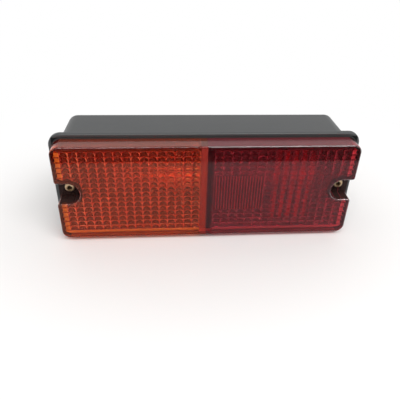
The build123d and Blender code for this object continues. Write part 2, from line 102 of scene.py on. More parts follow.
class LensSettings(bpy.types.PropertyGroup):
    """Sizes of the optics and tints of the two lens halves."""

    # Optics of the solids
    columns: count("Columns", "Pillows across each half", 16)
    rows: count("Rows", "Pillows from top to bottom", 16)
    plate: length("Plate", "Thickness of the front plate", 2.2)
    pillow: length("Pillow", "Height of a bevelled pillow in the solids", 1.2)
    crown_radius: length("Crown radius", "Radius of a pillow's crown, across and upright", 3.3)
    flute_radius: length("Flute radius", "Radius of a flute's crown", 1.13)
    window_columns: count("Window columns", "Columns under the window", 6)
    window_first: count("Window start", "Rows of pillows above the window", 5)
    window_rows: count("Window rows", "Rows of pillows under the window", 7)
    flutes: count("Flutes", "Flutes across the width of a pillow", 3)
    field_low: length("Field bottom", "Lowest edge of the pillow fields", -25.2)
    field_high: length("Field top", "Highest edge of the pillow fields", 26.8)
    amber_from: length("Amber field start", "Left edge of the amber pillow field", -80.1)
    amber_to: length("Amber field end", "Right edge of the amber pillow field", -4.6)
    red_from: length("Red field start", "Left edge of the red pillow field", 3.1)
    red_to: length("Red field end", "Right edge of the red pillow field", 80.1)
    prism_low: length("Prism foot", "Lowest edge of the border prisms", -28.35)
    prism_out: length("Prism end", "How far out the border prisms reach", 83.25)
    prism_depth: length("Prism depth", "How far behind the plate the border prisms reach", 3.1)

    # Other places on the lens
    lap_gap: length("Lap gap", "Air left between the two halves at the lap", 0.03)
    divider_to: length("Divider", "Right face of the wall behind the seam", 1.8)
    # Above this height the lens has painted shade: darker scattered light and a dimmed reflection
    painted_shade_from: length("Shade", "Height above which the lens has less haze", 20.6)
    edge: length("Edge", "Radius of the lens's front edges", 0.9)
    pocket_from: length("Pocket", "How far out the screw pockets begin", 71.8)
    pocket_half: length("Pocket half", "Half the height of a screw pocket", 6.7)
    # Painted light: between these depths the back of the lower face lights up
    sole_from: length("Sole start", "How far behind the plate the lower face lights up", 1.8)
    sole_full: length("Sole full", "How far behind the plate the lower face is brightest", 2.2)

    # Blur, gloss and haze
    amber_blur: number("Amber blur", "Roughness inside the amber half", 0.1)
    red_blur: number("Red blur", "Roughness inside the red half", 0.22)
    amber_glint: number("Amber glint", "Gloss of the amber front edges", 0.42)
    red_glint: number("Red glint", "Gloss of the red front edges", 1.0)
    amber_shine: number("Amber shine", "Gloss of the amber skirt", 0.455)
    red_shine: number("Red shine", "Gloss of the red skirt", 0.65)
    haze: number("Haze", "Share of light that the plastic scatters", 0.06)
    amber_skirt: number("Amber skirt", "Extra haze of the amber skirt, times", 0.6)
    red_skirt: number("Red skirt", "Extra haze of the red skirt, times", 1.6)
    lap_share: number("Lap share", "Extra haze where the halves lie over each other, times", 1.3)
    divider_loss: number("Divider loss", "Share of the haze that is lost before the dividing wall", 0.75)
    amber_frost: number("Amber frost", "Haze along the amber grooves", 0.34)
    red_frost: number("Red frost", "Haze along the red grooves", 0.07)
    core_frost: number("Core frost", "Haze in a pillow's core, times", 0.3)
    flute_frost: number("Flute frost", "Haze between flutes, times", 11.0)
    # Painted light on the border prisms and the lower face, as if light were piped to the border
    prism_glow_share: number("Prism frost", "Haze on the border prisms", 0.95)
    sole_glow_share: number("Sole frost", "Haze of the lower face, as a share of the border's", 0.5)
    # Painted shade in the screw pockets
    pocket_shade_share: number("Grime share", "Share of the screw pockets that dirt covers", 0.8)

    # Painted highlights where the pillows seem to gather light, and painted shade in the red grooves beside
    # them
    spark_reach: length("Spark reach", "How far from the seam amber pillows gather light", 24.0)
    spark_low: length("Spark bottom", "Height at which the amber pillows begin to gather light", 2.0)
    spark_full: length("Spark full", "Height above which they gather it in full", 8.0)
    spark_fade: length("Spark fade", "Height above which they gather less", 16.0)
    spark_high: length("Spark top", "Height above which they gather none", 20.0)
    spark_highlight_share: number("Spark share", "Haze of the cores that gather light in the amber half", 0.42)
    streak_middle: length("Streak middle", "Middle of the columns that gather light", 48.8)
    streak_half: length("Streak half", "Half the width of the columns that gather light", 15.0)
    streak_low: length("Streak bottom", "Height at which the red pillows begin to gather light", -26.0)
    streak_full: length("Streak full", "Height above which they gather it in full", -16.0)
    streak_fade: length("Streak fade", "Height above which they gather less", -2.0)
    streak_faint: length("Streak faint", "Height above which they gather least", 6.0)
    streak_loss: number("Streak loss", "Share of the light that the upper pillows don't gather", 0.25)
    streak_highlight_share: number("Streak share", "Haze of the cores that gather light in the red half", 0.4)
    # Painted shade in the red grooves: how much, how much left of the streaks, and over what width it grows
    groove_shade_share: number("Groove share", "Haze of the dirt in the red grooves", 0.5)
    groove_shade_left: number("Left grooves", "Dirt left of the streaks, as a share", 0.45)
    groove_shade_fade: length("Groove fade", "Width over which the dirt grows at the streaks", 4.0)

    # Colours
    amber_tint: colour("Amber tint", "Light that the amber plastic lets through", (0.93, 0.19, 0.08))
    amber_haze: colour("Amber haze", "Light that the amber plastic scatters", (0.95, 0.19, 0.1))
    # Painted shade: darker scattered light near the top of the amber half
    amber_shade: colour("Amber shade", "Scattered light near the top of the amber half", (0.62, 0.04, 0.02))
    amber_veil: colour("Amber veil", "Tone of reflections in the amber half", (0.5, 0.36, 0.3))
    # Painted light in the amber border
    amber_glow: colour("Amber glow", "Scattered light in the amber border", (1.0, 0.85, 0.25))
    # Painted highlight in the amber pillows by the seam
    amber_spark_highlight: colour("Amber spark", "Light that amber pillows by the seam gather", (1.0, 0.8, 0.4))
    red_tint: colour("Red tint", "Light that the red plastic lets through", (0.62, 0.035, 0.055))
    red_haze: colour("Red haze", "Light that the red plastic scatters", (0.55, 0.085, 0.11))
    # Painted shade: darker scattered light near the top of the red half
    red_shade: colour("Red shade", "Scattered light near the top of the red half", (0.2, 0.012, 0.02))
    red_veil: colour("Red veil", "Tone of reflections in the red half", (0.5, 0.5, 0.52))
    # Painted light in the red border
    red_glow: colour("Red glow", "Scattered light in the red border", (0.95, 0.85, 0.75))
    # Painted shade in the red grooves
    red_groove_shade: colour("Red groove", "Dirt in the grooves of the red half", (0.13, 0.02, 0.026))
    # Painted highlight streaks in the middle red pillows
    red_streak_highlight: colour("Red streak", "Light that the middle red pillows gather", (0.85, 0.03, 0.045))
    lap_haze: colour("Lap haze", "Scattered light where the halves lie over each other", (1.0, 0.1, 0.08))
    # Painted shade in the screw pockets
    pocket_shade: colour("Grime", "Dirt in the screw pockets", (0.035, 0.018, 0.016))


class FinishSettings(bpy.types.PropertyGroup):
    """Colours of the plain finishes, and the places that dirt darkens."""

    moulding: colour("Moulding", "Black plastic of the housing", (0.035, 0.037, 0.038))
    rubber: colour("Rubber", "Gasket and grommet", (0.018, 0.018, 0.018))
    yellow_zinc: colour("Yellow zinc", "Plating of the lens screws", (0.5, 0.36, 0.22))
    brass: colour("Brass", "Inserts", (0.75, 0.52, 0.22))
    dull_brass: colour("Dull brass", "Caps and contacts of the bulbs", (0.4, 0.29, 0.14))
    zinc: colour("Zinc", "Plated carriers and holders", (0.5, 0.51, 0.52))
    steel: colour("Spring steel", "Finger springs", (0.42, 0.42, 0.43))
    laminate: colour("Laminate", "Contact discs", (0.2, 0.1, 0.05))
    glass: colour("Glass", "Bulb envelopes", (0.97, 0.98, 0.98))
    # Painted shadow on the flange round the lens
    seat_shadow: length("Seat", "Width of the dull seat that shows round the lens", 0.6)
    # Painted shade in the recess of each screw head
    screw_pit_shade: length("Screw pit", "Radius of the dark recess in a screw head", 1.6)


class StageSettings(bpy.types.PropertyGroup):
    """Floor, light and camera."""

    # The floor round the lamp is darker than the far floor: a painted shadow
    floor: colour("Floor", "Pale floor around the lamp", (0.8, 0.785, 0.775))
    floor_far: colour("Far floor", "Pale floor away from the lamp", (0.97, 0.965, 0.96))
    floor_size: length("Floor size", "Side of the square floor", 8000.0)
    # Where the painted shadow round the lamp lies and how it fades
    shadow_pool_ahead: length("Pool ahead", "How far before the back wall the near floor is centred", 30.0)
    shadow_pool_from: length("Pool start", "Distance at which the floor begins to turn white", 60.0)
    shadow_pool_to: length("Pool end", "Distance at which the floor is white", 200.0)
    shadow_pool_squash: number("Pool squash", "How much a distance across counts, squared", 0.5)
    room_front: number("Room front", "Brightness of the room before the lamp", 0.45)
    room_back: number("Room back", "Brightness of the room behind the lamp", 0.8)
    room_seen: number("Room seen", "Brightness of the room as a background", 0.96)
    light_ahead: length("Light distance", "How far before the lamp the soft lights hang", 600.0)
    light_height: length("Light height", "How high the soft lights hang", 850.0)
    light_depth: length("Light depth", "Size of a soft light from front to back", 450.0)
    left_place: length("Left place", "Where the left soft light hangs, across", -160.0)
    left_width: length("Left width", "Width of the left soft light", 360.0)
    left_power: FloatProperty(
        name="Left power", description="Power of the left soft light", unit="POWER", default=3.1)
    right_place: length("Right place", "Where the right soft light hangs, across", 365.0)
    right_width: length("Right width", "Width of the right soft light", 670.0)
    right_power: FloatProperty(
        name="Right power", description="Power of the right soft light", unit="POWER", default=6.3)
    camera_place: FloatVectorProperty(
        name="Camera place", description="Where the camera stands", subtype="TRANSLATION", unit="LENGTH",
        default=(-0.021883, -0.263401, 0.141687))
    camera_pitch: angle("Pitch", "Downward tilt of the camera", 32.974)
    camera_yaw: angle("Yaw", "Turn toward the red half", 5.701)
    camera_roll: angle("Roll", "Lean of the camera", 2.203)
    camera_lens: FloatProperty(
        name="Lens", description="Focal length on a 36 mm sensor", unit="CAMERA", default=40.257)
    shift_x: number("Shift across", "Shift of the picture across, in widths", -0.0175)
    shift_y: number("Shift upward", "Shift of the picture upward, in widths", -0.03)


class Link:
    """An output of a node. Sums, differences, products and powers of it add Math nodes."""

    def __init__(self, finish, socket):
        self.finish = finish
        self.socket = socket

    def math(self, operation, first, second):
        return self.finish.node("ShaderNodeMath", {"operation": operation}, {0: first, 1: second})

    def __add__(self, other):
        return self.math("ADD", self, other)

    def __radd__(self, other):
        return self.math("ADD", other, self)

    def __sub__(self, other):
        return self.math("SUBTRACT", self, other)

    def __rsub__(self, other):
        return self.math("SUBTRACT", other, self)

    def __mul__(self, other):
        return self.math("MULTIPLY", self, other)

    def __rmul__(self, other):
        return self.math("MULTIPLY", other, self)

    def __pow__(self, other):
        return self.math("POWER", self, other)

    def __abs__(self):
        return self.math("ABSOLUTE", self, 0.0)


class Finish:
    """A material, or the world, while its nodes are put together."""

    def __init__(self, name, owner=None):
        self.owner = owner or bpy.data.materials.new(name)
        self.owner.use_nodes = True
        self.tree = self.owner.node_tree
        self.tree.nodes.clear()

    def node(self, kind, settings=None, sockets=None, output=0):
        """Add a node, give it its settings, then fill its sockets with values or links."""
        made = self.tree.nodes.new(kind)
        for key, value in (settings or {}).items():
            setattr(made, key, value)
        for key, value in (sockets or {}).items():
            if isinstance(value, Link):
                self.tree.links.new(value.socket, made.inputs[key])
            else:
                made.inputs[key].default_value = value
        return Link(self, made.outputs[output]) if len(made.outputs) else None

    def place(self):
        """Where a point lies in its object."""
        return self.node("ShaderNodeTexCoord", output="Object")

    def axes(self):
        """The three object coordinates, in metres."""
        split = self.node("ShaderNodeSeparateXYZ", sockets={0: self.place()}).socket.node
        return [Link(self, output) for output in split.outputs]

    def noise(self, scale, detail):
        """Soft noise from 0 to 1, with its scale in grains per metre."""
        sockets = {"Vector": self.place(), "Scale": scale, "Detail": detail}
        return self.node("ShaderNodeTexNoise", sockets=sockets)

    def rise(self, value, zero_at, one_at):
        """A smooth step from 0 to 1, upward or downward."""
        settings = {"interpolation_type": "SMOOTHSTEP"}
        sockets = {"Value": value, "From Min": zero_at, "From Max": one_at}
        return self.node("ShaderNodeMapRange", settings, sockets)

    def inside(self, value, low, high, soft=0.03 * MM):
        """1 between two values and 0 outside them."""
        return self.rise(value, low, low + soft) * self.rise(value, high, high - soft)

    def from_edge(self, value, start, pitch):
        """How far a value is from the nearest edge of a row of equal cells."""
        return self.node("ShaderNodeMath", {"operation": "PINGPONG"}, {0: value - start, 1: pitch / 2})

    def in_cell(self, value, start, pitch):
        """How far a value lies into its cell of a row, from 0 to 1."""
        return self.node("ShaderNodeMath", {"operation": "FRACT"}, {0: (value - start) * (1.0 / pitch)})

    def seen(self):
        """1 for rays that show a background to the camera, to metal and to glass."""
        path = self.node("ShaderNodeLightPath").socket.node.outputs
        rays = ("Camera", "Glossy", "Transmission")
        camera, glossy, through = [Link(self, path[f"Is {ray} Ray"]) for ray in rays]
        return self.rise(camera + glossy + through, zero_at=0.0, one_at=1.0)

    def blend(self, share, first, second):
        """Mix two colours by a share from 0 to 1."""
        settings = {"data_type": "RGBA"}
        return self.node("ShaderNodeMix", settings, {"Factor": share, "A": first, "B": second}, output=2)

    def bump(self, height, depth):
        """Normal of a relief of that depth in metres."""
        return self.node("ShaderNodeBump", sockets={"Height": height, "Distance": depth, "Strength": 1.0})

    def principled(self, sockets):
        """A Principled shader."""
        return self.node("ShaderNodeBsdfPrincipled", sockets=sockets)

    def mix(self, share, first, second):
        """Mix two shaders by a share from 0 to 1."""
        return self.node("ShaderNodeMixShader", sockets={0: share, 1: first, 2: second})

    def close(self, shader):
        """Close the material with its shader."""
        self.node("ShaderNodeOutputMaterial", sockets={"Surface": shader})
        return self.owner


def rgba(tone, level=1.0):
    """A colour scaled in brightness, with alpha."""
    return (*(min(1.0, channel * level) for channel in tone), 1.0)


def grey(level):
    """A grey, with alpha."""
    return (level, level, level, 1.0)


def vary(cloud, middle, spread):
    """A value that a noise moves by a spread either way."""
    return middle - spread + 2.0 * spread * cloud


def dress(nodes, material):
    """Give CAD nodes a material."""
    for name in nodes:
        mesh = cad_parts[name].data
        mesh.materials.clear()
        mesh.materials.append(material)


def moulded_plastic(name, tone, roughness, grain_depth, seat_shadow=None):
    """Satin moulded plastic with fine grain and faint cloudy wear, and a painted shadow round the lens if
    seat_shadow is given.
    """
    finish = Finish(name)
    cloud = finish.noise(scale=45.0, detail=4.0)
    grain = finish.noise(scale=2600.0, detail=2.0)
    satin = finish.principled({
        "Base Color": finish.blend(cloud, rgba(tone, level=0.8), rgba(tone, level=1.25)),
        "Roughness": vary(cloud, roughness, spread=0.08),
        "Normal": finish.bump(grain, grain_depth),
    })
    if not seat_shadow:
        return finish.close(satin)
    # Painted shadow: dull and dark where the flange meets the lens
    x, y, z = finish.axes()
    soft = 0.3 * MM
    near = finish.rise(abs(x), seat_shadow.x + soft, seat_shadow.x - soft)
    near = near * finish.rise(abs(z), seat_shadow.z + soft, seat_shadow.z - soft)
    near = near * finish.rise(y, seat_shadow.y + soft, seat_shadow.y + soft / 3)
    dull = finish.principled({
        "Base Color": rgba(tone, level=0.3), "Roughness": 0.8, "Specular IOR Level": 0.05})
    return finish.close(finish.mix(near, satin, dull))


def plated_metal(name, tone, roughness, tarnish, shaded_pit=None):
    """Metal with a cloudy tarnish and fine scratches, with painted shade in the recess of a screw head if one
    is given.
    """
    finish = Finish(name)
    cloud = finish.noise(scale=260.0, detail=5.0)
    scratch = finish.noise(scale=3500.0, detail=2.0)
    base = finish.blend(cloud, rgba(tone, level=1.0 - tarnish), rgba(tone, level=1.0 + tarnish))
    if shaded_pit:
        # Painted shade darkens the recess of the screw head
        pit_x, pit_z, radius = shaded_pit
        x, _, z = finish.axes()
        across, upright = abs(x) - pit_x, z - pit_z
        away = (across * across + upright * upright) ** 0.5
        soft = 0.2 * MM
        base = finish.blend(finish.rise(away, radius, radius - soft), base, rgba(tone, level=0.05))
    return finish.close(finish.principled({
        "Base Color": base,
        "Metallic": 1.0,
        "Roughness": vary(cloud, roughness, spread=0.08),
        "Normal": finish.bump(scratch, depth=0.006 * MM),
    }))


def clear_glass(name, tone):
    """Thin blown glass with faint streaks."""
    finish = Finish(name)
    streak = finish.noise(scale=90.0, detail=3.0)
    return finish.close(finish.principled({
        "Base Color": finish.blend(streak, rgba(tone, level=0.97), rgba(tone)),
        "Roughness": vary(streak, middle=0.025, spread=0.015),
        "IOR": 1.5,
        "Transmission Weight": 1.0,
    }))


def of_half(settings, half, name):
    """A setting that each half of the lens has for itself."""
    return getattr(settings, f"{half}_{name}")


def inner_face(settings):
    """Where the back of the front plate lies, from which the optics stand up."""
    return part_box("amber_lens")[0].y + settings.plate


def pitches(settings, x_from, x_to):
    """Width and height of a pillow."""
    return (x_to - x_from) / settings.columns, (settings.field_high - settings.field_low) / settings.rows


def window_edges(settings, x_from, x_to):
    """Right, lower and upper edge of the fluted window, which begins where its field does."""
    pitch_x, pitch_z = pitches(settings, x_from, x_to)
    high = settings.field_high - settings.window_first * pitch_z
    return x_from + settings.window_columns * pitch_x, high - settings.window_rows * pitch_z, high


def pillow_field(finish, settings, x_from, x_to):
    """1 on the pillows of a half, and the place in each: across from its middle, and upright, from 0 to 1."""
    x, y, z = finish.axes()
    pitch_x, pitch_z = pitches(settings, x_from, x_to)
    inner = inner_face(settings)
    skin = 0.2 * MM
    field = finish.inside(x, x_from, x_to) * finish.inside(z, settings.field_low, settings.field_high)
    field = field * finish.rise(y, inner - 3 * skin, inner - skin)
    across = 1.0 - finish.from_edge(x, x_from, pitch_x) * (2.0 / pitch_x)
    return field, across, finish.in_cell(z, settings.field_low, pitch_z)


def fluted_window(finish, settings, x_from, x_to):
    """1 in the fluted window of the red half."""
    x, _, z = finish.axes()
    right, low, high = window_edges(settings, x_from, x_to)
    return finish.inside(x, x_from, right) * finish.inside(z, low, high)


def frost(finish, settings, half, x_from, x_to):
    """Extra haze on the inner face, along the grooves and in the core of each pillow."""
    field, across, upright = pillow_field(finish, settings, x_from, x_to)
    squash = 0.9
    reach = across * across + squash * upright * upright
    haze = finish.rise(reach, zero_at=0.65, one_at=0.95)
    haze = haze + settings.core_frost * finish.rise(reach, zero_at=0.4, one_at=0.1)
    if half == "red":
        x, _, _ = finish.axes()
        flute = pitches(settings, x_from, x_to)[0] / settings.flutes
        groove = finish.rise(finish.from_edge(x, x_from, flute), zero_at=0.4 * MM, one_at=0.1 * MM)
        fluted = fluted_window(finish, settings, x_from, x_to)
        haze = haze + fluted * (settings.flute_frost * groove - haze)
    return of_half(settings, half, "frost") * field * haze


def red_groove_shade_and_streaks(finish, settings, x_from, x_to):
    """Masks of painted shade in the grooves between the red columns, and of painted highlights in the pillow
    cores that gather light.
    """
    x, _, z = finish.axes()
    field, across, upright = pillow_field(finish, settings, x_from, x_to)
    left = settings.streak_middle - settings.streak_half
    beside = finish.rise(x, left, left + settings.groove_shade_fade)
    grooves = field * finish.rise(across, zero_at=0.72, one_at=0.92)
    grooves = grooves * (settings.groove_shade_left + (1.0 - settings.groove_shade_left) * beside)
    grooves = grooves * (1.0 - fluted_window(finish, settings, x_from, x_to))
    gather = finish.rise(abs(x - settings.streak_middle), settings.streak_half, settings.streak_half / 2)
    upper = finish.rise(z, settings.streak_fade, settings.streak_faint)
    gather = gather * (1.0 - settings.streak_loss * upper)
    gather = gather * finish.rise(z, settings.streak_low, settings.streak_full)
    cores = finish.rise(across, zero_at=0.65, one_at=0.35) * finish.rise(upright, zero_at=1.0, one_at=0.7)
    return grooves, field * gather * cores


def amber_painted_sparks(finish, settings, x_from, x_to):
    """A mask of painted highlights in the pillow cores beside the seam that gather light in the amber half.
    """
    x, _, z = finish.axes()
    field, across, upright = pillow_field(finish, settings, x_from, x_to)
    level = 2.0 * upright - 1.0
    squash = 1.5
    cores = finish.rise(across * across + squash * level * level, zero_at=0.32, one_at=0.1)
    gather = finish.rise(x, x_to - settings.spark_reach, x_to - settings.spark_reach / 3)
    gather = gather * finish.rise(z, settings.spark_low, settings.spark_full)
    gather = gather * finish.rise(z, settings.spark_high, settings.spark_fade)
    return field * gather * cores


def border_prisms(finish, settings):
    """A mask of painted light: 1 on the slanted prisms, and a share on the back of the lens's lower face,
    which light its border.
    """
    x, y, z = finish.axes()
    inner = inner_face(settings)
    lower_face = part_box("amber_lens")[0].z
    hair = 0.05 * MM
    ends = finish.inside(abs(x), settings.red_to, settings.prism_out)
    ends = ends * finish.inside(z, settings.prism_low, settings.field_high + 2 * hair)
    foot = finish.inside(abs(x), 0.0, settings.prism_out)
    foot = foot * finish.inside(z, settings.prism_low, settings.field_low - hair)
    slanted = finish.rise(ends + foot, zero_at=0.0, one_at=0.5)
    slanted = slanted * finish.inside(y, inner + hair, inner + settings.prism_depth)
    sole = finish.rise(z, lower_face + 2 * hair, lower_face + hair)
    sole = sole * finish.rise(y, inner + settings.sole_from, inner + settings.sole_full)
    return finish.rise(slanted, zero_at=0.0, one_at=0.5) + settings.sole_glow_share * sole


def lens_zones(finish, settings):
    """Masks of the places where the lens differs from its plain plastic, by name."""
    x, y, z = finish.axes()
    low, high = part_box("amber_lens")
    front, inner = low.y, inner_face(settings)
    tongue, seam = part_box("red_lens")[0].x, high.x
    middle = (settings.field_low + settings.field_high) / 2
    hair = 0.015 * MM
    step = 0.1 * MM
    skirt = finish.rise(abs(z), high.z - 4 * hair, high.z - 2 * hair)
    plate = finish.rise(y, inner + 5 * step, inner + 2 * step) * (1.0 - skirt)
    # The top and shade masks carry painted shade near the top: one darkens the scattered light, the other
    # dims the outer reflection
    shade = finish.rise(z, settings.painted_shade_from - MM / 2, settings.painted_shade_from + MM / 2)
    pocket = finish.rise(abs(x), settings.pocket_from - step, settings.pocket_from)
    pocket = pocket * finish.inside(z, middle - settings.pocket_half, middle + settings.pocket_half)
    weld = finish.inside(x, tongue - step, seam + step)
    weld = weld * finish.inside(y, front + step / 2, inner - step / 2)
    return SimpleNamespace(
        edges=finish.inside(y, front + hair, front + settings.edge),
        skirt=skirt,
        top=finish.rise(z, settings.painted_shade_from - MM, settings.painted_shade_from + MM),
        shade=shade * finish.rise(y, front + settings.edge, front + settings.edge / 2),
        behind=finish.rise(y, front + MM / 2, front + MM),
        lap=plate * finish.inside(x, tongue, seam),
        divider=plate * finish.inside(x, seam, settings.divider_to + MM / 2, soft=MM / 2),
        pocket=pocket * finish.rise(y, front + 2 * step, front + 4 * step),
        border=border_prisms(finish, settings),
        weld=weld * finish.rise(abs(z), high.z - MM, high.z - MM - step),
    )


def clear_plastic(finish, settings, half, zones, cloud):
    """Clear tinted plastic: glossy at its edges and skirt, with its reflection dimmed near the top as painted
    shade, and blurred inside.
    """
    tint = of_half(settings, half, "tint")
    wave = finish.noise(scale=55.0, detail=2.0)
    polished = {
        "Base Color": finish.blend(cloud, rgba(tint, level=0.97), rgba(tint)),
        "Roughness": vary(cloud, middle=0.045, spread=0.025),
        "IOR": 1.49,
        "Transmission Weight": 1.0,
        "Normal": finish.bump(wave, depth=0.002 * MM),
    }
    glint = of_half(settings, half, "glint") * zones.edges
    shine = of_half(settings, half, "shine") * (zones.skirt - zones.edges * zones.skirt)
    glossy = {**polished, "Coat Weight": glint + shine, "Coat IOR": 1.9}
    veiled = finish.principled({**glossy, "Specular Tint": rgba(of_half(settings, half, "veil"))})
    # Near the top the reflection is dimmed, as painted shade
    shaded_top = finish.principled({**glossy, "Specular Tint": grey(0.05)})
    blur = of_half(settings, half, "blur")
    inside = finish.principled({**polished, "Roughness": vary(cloud, blur, spread=0.1 * blur)})
    return finish.mix(zones.behind, finish.mix(zones.shade, veiled, shaded_top), inside)


def scattered_light(finish, settings, half, zones, cloud, x_from, x_to):
    """Colour and share of the light that haze and frost scatter, with painted shade, painted highlights and
    painted light mixed in.
    """
    haze = rgba(of_half(settings, half, "haze"))
    # Painted shade: darker scattered light near the top
    tone = finish.blend(zones.top, haze, rgba(of_half(settings, half, "shade")))
    tone = finish.blend(zones.skirt, tone, haze)
    tone = finish.blend(zones.lap, tone, rgba(settings.lap_haze))
    # Painted light on the border prisms
    tone = finish.blend(zones.border, tone, rgba(of_half(settings, half, "glow")))
    # Painted shade in the screw pockets
    tone = finish.blend(zones.pocket, tone, rgba(settings.pocket_shade))
    on_skirt = of_half(settings, half, "skirt") * zones.skirt
    share = settings.haze * (vary(cloud, middle=1.0, spread=0.1) + settings.lap_share * zones.lap + on_skirt)
    share = share * (1.0 - settings.divider_loss * zones.divider)
    share = share + frost(finish, settings, half, x_from, x_to)
    # Painted light on the border and painted shade in the screw pockets
    share = share + settings.prism_glow_share * zones.border + settings.pocket_shade_share * zones.pocket
    if half == "amber":
        # Painted highlights in the amber pillows by the seam
        painted_sparks = amber_painted_sparks(finish, settings, x_from, x_to)
        tone = finish.blend(painted_sparks, tone, rgba(settings.amber_spark_highlight))
        return tone, share + settings.spark_highlight_share * painted_sparks
    # Painted shade in the red grooves, and painted highlight streaks in the middle pillows
    grooves, streaks = red_groove_shade_and_streaks(finish, settings, x_from, x_to)
    tone = finish.blend(grooves, tone, rgba(settings.red_groove_shade))
    tone = finish.blend(streaks, tone, rgba(settings.red_streak_highlight))
    return tone, share + settings.groove_shade_share * grooves + settings.streak_highlight_share * streaks


def tinted_plastic(name, settings, half, x_from, x_to):
    """Tinted lens plastic: polished, with some haze, frosted in its grooves and welded to its other half."""
    finish = Finish(name)
    zones = lens_zones(finish, settings)
    cloud = finish.noise(scale=70.0, detail=4.0)
    clear = clear_plastic(finish, settings, half, zones, cloud)
    tone, share = scattered_light(finish, settings, half, zones, cloud, x_from, x_to)
    hazy = finish.principled({"Base Color": tone, "Roughness": 0.6, "Specular IOR Level": 0.0})
    plastic = finish.mix(share, clear, hazy)
    return finish.close(finish.mix(zones.weld, plastic, finish.node("ShaderNodeBsdfTransparent")))


def copy_of_node(name, node):
    """A merged copy of a CAD node's mesh as a piece of its own, left active and in edit mode."""
    bpy.ops.object.select_all(action="DESELECT")
    piece = bpy.data.objects.new(name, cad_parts[node].data.copy())
    bpy.context.collection.objects.link(piece)
    bpy.context.view_layer.objects.active = piece
    piece.select_set(True)
    bpy.ops.object.mode_set(mode="EDIT")
    bpy.ops.mesh.select_all(action="SELECT")
    bpy.ops.mesh.remove_doubles(threshold=MERGE)
    bpy.ops.mesh.dissolve_limited(angle_limit=math.radians(0.3))
    bpy.ops.mesh.select_all(action="DESELECT")
    return piece


def select_faces(piece, chosen):
    """Select the faces that a test picks, in edit mode, and say how many there are."""
    mesh = bmesh.from_edit_mesh(piece.data)
    found = 0
    for face in mesh.faces:
        keep = chosen(face)
        face.select_set(keep)
        found += keep
    bmesh.update_edit_mesh(piece.data)
    return found


def arc(offset, half, radius):
    """Height of a round crest over its ends, at an offset from its middle."""
    return math.sqrt(radius ** 2 - offset ** 2) - math.sqrt(radius ** 2 - half ** 2)


def from_middle(place, start, pitch):
    """Offset of a place from the middle of the cell of a row that it lies in."""
    return ((place - start) / pitch % 1.0 - 0.5) * pitch


def round_optics(piece, x_from, x_to, settings, window=False):
    """Round the bevelled pillows of one half into crowns, and the flutes of its window likewise."""
    valley_y = inner_face(settings)
    pitch_x, pitch_z = pitches(settings, x_from, x_to)
    flute = pitch_x / settings.flutes
    window_right, window_low, window_high = window_edges(settings, x_from, x_to)
    slack = 0.01 * MM
    facing_back = 0.3

    def between(low, place, high):
        return low - slack < place < high + slack

    def in_field(point):
        across = between(x_from, point.x, x_to)
        upright = between(settings.field_low, point.z, settings.field_high)
        return across and upright and between(valley_y, point.y, valley_y + settings.pillow)

    def in_window(point):
        upright = between(window_low, point.z, window_high)
        return window and upright and between(x_from, point.x, window_right)

    def on_border(point):
        ends = min(point.x - x_from, x_to - point.x)
        edges = min(point.z - settings.field_low, settings.field_high - point.z)
        return min(ends, edges) < slack

    def optic(face):
        return face.normal.y > facing_back and face.calc_center_median().y > valley_y + slack and all(
            in_field(corner.co) for corner in face.verts)

    def folded(face):
        return any(edge.is_boundary for edge in face.edges)

    def height(point):
        if in_window(point):
            return valley_y + arc(from_middle(point.x, x_from, flute), flute / 2, settings.flute_radius)
        if on_border(point):
            return valley_y
        across = arc(from_middle(point.x, x_from, pitch_x), pitch_x / 2, settings.crown_radius)
        upright = arc(from_middle(point.z, settings.field_low, pitch_z), pitch_z / 2, settings.crown_radius)
        return valley_y + across + upright

    if select_faces(piece, optic) < settings.columns:
        raise RuntimeError(f"{piece.name} has no pillows to round")
    bpy.ops.mesh.quads_convert_to_tris(quad_method="FIXED", ngon_method="BEAUTY")
    bpy.ops.mesh.tris_convert_to_quads(face_threshold=math.radians(1.0), shape_threshold=math.radians(180.0))
    bpy.ops.mesh.subdivide(number_cuts=3)
    mesh = bmesh.from_edit_mesh(piece.data)
    optics = {corner for face in mesh.faces if face.select for corner in face.verts}
    raised = {corner: height(corner.co) for corner in optics if in_field(corner.co)}
    for corner, y in raised.items():
        corner.co.y = y
    bmesh.update_edit_mesh(piece.data)
    if window:
        # The ends of the flutes fold flat, and the faces that merging leaves with a free edge are spare
        bpy.ops.mesh.select_all(action="SELECT")
        bpy.ops.mesh.remove_doubles(threshold=MERGE)
        select_faces(piece, folded)
        bpy.ops.mesh.delete(type="FACE")
        bpy.ops.mesh.select_all(action="SELECT")
        bpy.ops.mesh.normals_make_consistent(inside=False)
    bpy.ops.mesh.select_all(action="DESELECT")


def open_lap(red, settings):
    """Draw the red tongue back a little, so that two faces never lie in one place."""
    mesh = bmesh.from_edit_mesh(red.data)
    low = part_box("red_lens")[0]
    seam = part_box("amber_lens")[1].x
    slack = 0.02 * MM
    for corner in mesh.verts:
        point = corner.co
        if point.x < seam - slack and abs(point.y - low.y - settings.plate / 2) < slack:
            point.y += settings.lap_gap
        if abs(point.x - low.x) < slack or abs(point.x - seam) < slack:
            point.x += settings.lap_gap
    bmesh.update_edit_mesh(red.data)


def finish_piece(piece, node, material):
    """Leave edit mode, shade, colour and place a piece that stands for a CAD node."""
    bpy.ops.object.mode_set(mode="OBJECT")
    bpy.ops.object.shade_smooth_by_angle(angle=math.radians(35.0))
    bpy.ops.object.modifier_add(type="WEIGHTED_NORMAL")
    piece.modifiers[-1].keep_sharp = True
    bpy.ops.object.modifier_apply(modifier=piece.modifiers[-1].name)
    piece.data.materials.clear()
    piece.data.materials.append(material)
    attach(piece, "root")
    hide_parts(node)
    piece.select_set(False)


